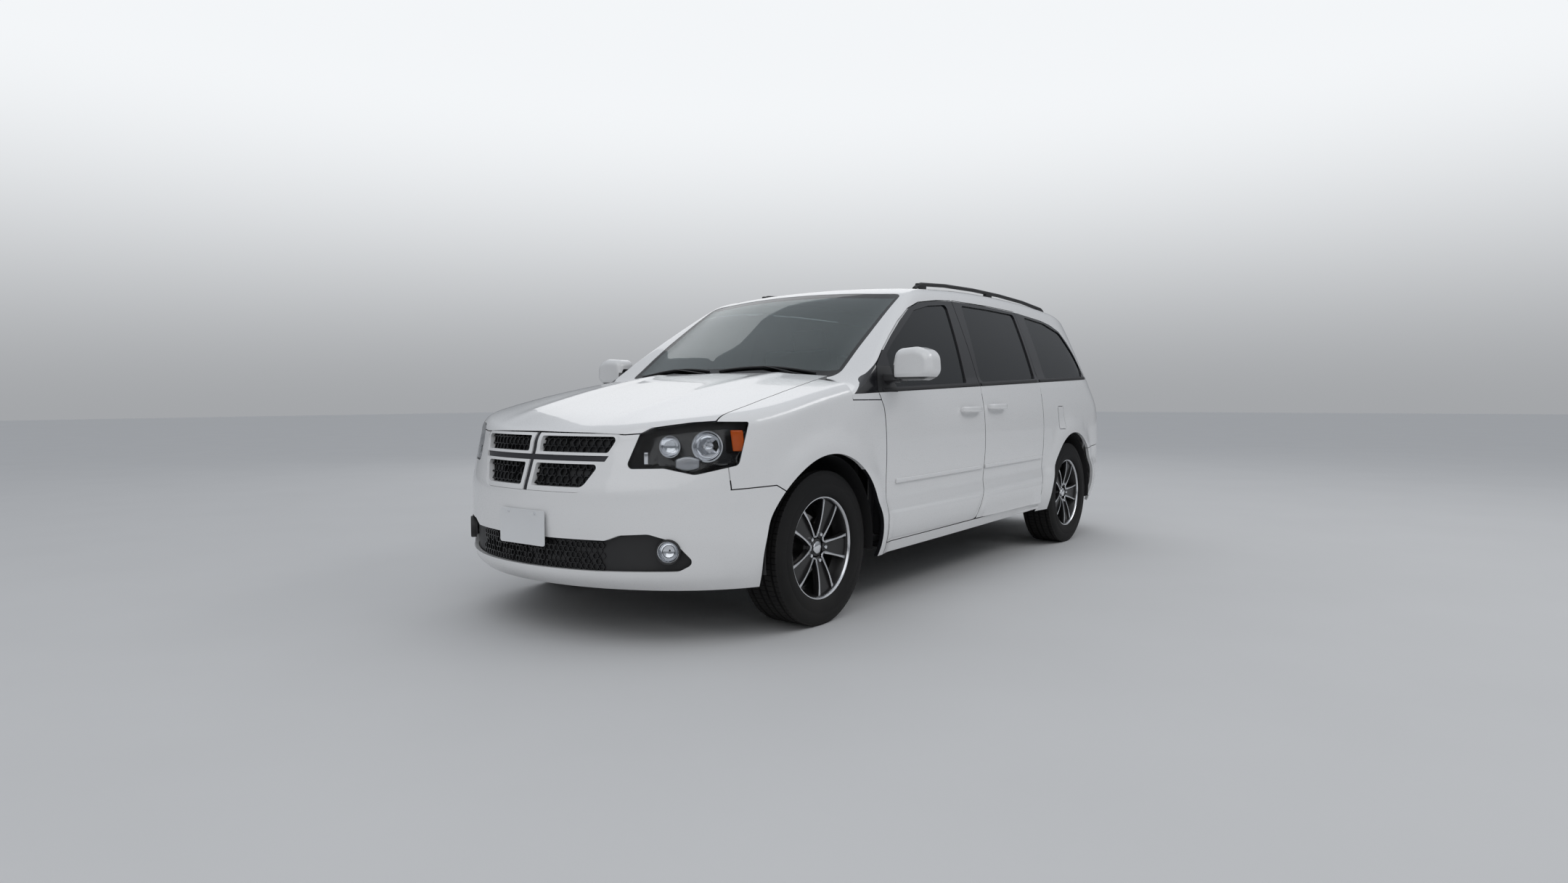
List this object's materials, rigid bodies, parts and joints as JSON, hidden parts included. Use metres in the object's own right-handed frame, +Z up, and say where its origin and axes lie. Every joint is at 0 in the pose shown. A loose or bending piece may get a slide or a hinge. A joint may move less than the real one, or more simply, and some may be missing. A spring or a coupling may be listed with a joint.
{
  "type": "minivan",
  "caption": "Five-door family van with hinged front doors, fixed side doors, opening hood, tailgate and fuel flap, steered front wheels and spinning road wheels.",
  "frame": {"origin": "on the ground under the middle of the car's length and width", "axes": "+X to the rear of the car, -Y to the driver's side, +Z up"},
  "size_m": [5.1502, 2.371, 1.7484],
  "materials": {
    "paint": "white gloss paint",
    "glass": "dark tinted glass",
    "clear_glass": "lightly tinted windscreen glass",
    "lamp": "black lamp housing under a clear lens",
    "fog": "clear fog lamp lens",
    "red_lamp": "red lamp lens",
    "cross": "dark grey painted bars",
    "black_plastic": "textured black plastic",
    "tyre": "black rubber",
    "alloy": "black painted alloy with machined edges",
    "iron": "cast iron",
    "steel": "dark coated steel",
    "exhaust": "dull steel",
    "trim": "grey soft trim",
    "cloth": "dark seat cloth",
    "tank": "black plastic"
  },
  "bodies": {
    "body": {"body_side_left": "paint", "body_side_right": "paint", "roof_panel": "paint", "front_fender_left": "paint", "front_fender_right": "paint", "front_bumper": "paint", "grille": "paint", "grille_cross": "cross", "grille_mesh": "black_plastic", "lower_grille": "black_plastic", "fog_lamps": "fog", "headlamp_left": "lamp", "headlamp_right": "lamp", "rear_bumper": "paint", "tail_lamps": "red_lamp", "windscreen": "clear_glass", "side_glass": "glass", "sliding_door_left": "paint", "sliding_door_right": "paint", "cowl_panel": "black_plastic", "wipers": "black_plastic", "roof_rails": "black_plastic", "dashboard": "trim", "steering_wheel": "trim", "front_seats": "cloth", "middle_seats": "cloth", "rear_seat": "cloth", "floor_pan": "steel", "engine": "iron", "radiator": "steel", "front_subframe": "steel", "rear_axle": "steel", "fuel_tank": "tank", "exhaust": "exhaust"},
    "hood": {"hood": "paint"},
    "door_left": {"front_door_left": "paint", "door_glass_left": "glass"},
    "door_right": {"front_door_right": "paint", "door_glass_right": "glass"},
    "tailgate": {"tailgate": "paint", "tailgate_glass": "glass"},
    "fuel_flap": {"fuel_flap": "paint"},
    "steer_left": {"knuckle_left": "iron"},
    "steer_right": {"knuckle_right": "iron"},
    "wheel_front_left": {"wheel_front_left": "alloy", "tyre_front_left": "tyre"},
    "wheel_front_right": {"wheel_front_right": "alloy", "tyre_front_right": "tyre"},
    "wheel_rear_left": {"wheel_rear_left": "alloy", "tyre_rear_left": "tyre"},
    "wheel_rear_right": {"wheel_rear_right": "alloy", "tyre_rear_right": "tyre"}
  },
  "joints": [
    {"name": "hood_hinge", "type": "hinge", "parent": "body", "child": "hood", "pos_m": [-1.25, 0, 1.12], "axis": [0, 1, 0], "range_deg": [0, 52]},
    {"name": "front_door_left_hinge", "type": "hinge", "parent": "body", "child": "door_left", "pos_m": [-1.073, -0.952, 0.7], "axis": [0, 0, -1], "range_deg": [0, 68]},
    {"name": "front_door_right_hinge", "type": "hinge", "parent": "body", "child": "door_right", "pos_m": [-1.073, 0.952, 0.7], "axis": [0, 0, 1], "range_deg": [0, 68]},
    {"name": "tailgate_hinge", "type": "hinge", "parent": "body", "child": "tailgate", "pos_m": [2.254, 0, 1.61], "axis": [0, -1, 0], "range_deg": [0, 82]},
    {"name": "fuel_flap_hinge", "type": "hinge", "parent": "body", "child": "fuel_flap", "pos_m": [1.204, -0.966, 0.8955], "axis": [0, 0, -1], "range_deg": [0, 80]},
    {"name": "steer_left", "type": "hinge", "parent": "body", "child": "steer_left", "pos_m": [-1.6225, -0.765, 0.354], "axis": [0, 0, 1], "range_deg": [-33, 33]},
    {"name": "steer_right", "type": "hinge", "parent": "body", "child": "steer_right", "pos_m": [-1.6225, 0.765, 0.354], "axis": [0, 0, 1], "range_deg": [-33, 33]},
    {"name": "wheel_front_left_spin", "type": "hinge", "parent": "steer_left", "child": "wheel_front_left", "pos_m": [-1.6225, -0.825, 0.354], "axis": [0, 1, 0], "continuous": true},
    {"name": "wheel_front_right_spin", "type": "hinge", "parent": "steer_right", "child": "wheel_front_right", "pos_m": [-1.6225, 0.825, 0.354], "axis": [0, 1, 0], "continuous": true},
    {"name": "wheel_rear_left_spin", "type": "hinge", "parent": "body", "child": "wheel_rear_left", "pos_m": [1.4555, -0.823, 0.354], "axis": [0, 1, 0], "continuous": true},
    {"name": "wheel_rear_right_spin", "type": "hinge", "parent": "body", "child": "wheel_rear_right", "pos_m": [1.4555, 0.823, 0.354], "axis": [0, 1, 0], "continuous": true}
  ],
  "couplings": [
    {"joint": "steer_right", "follows": "steer_left", "ratio": 1}
  ]
}
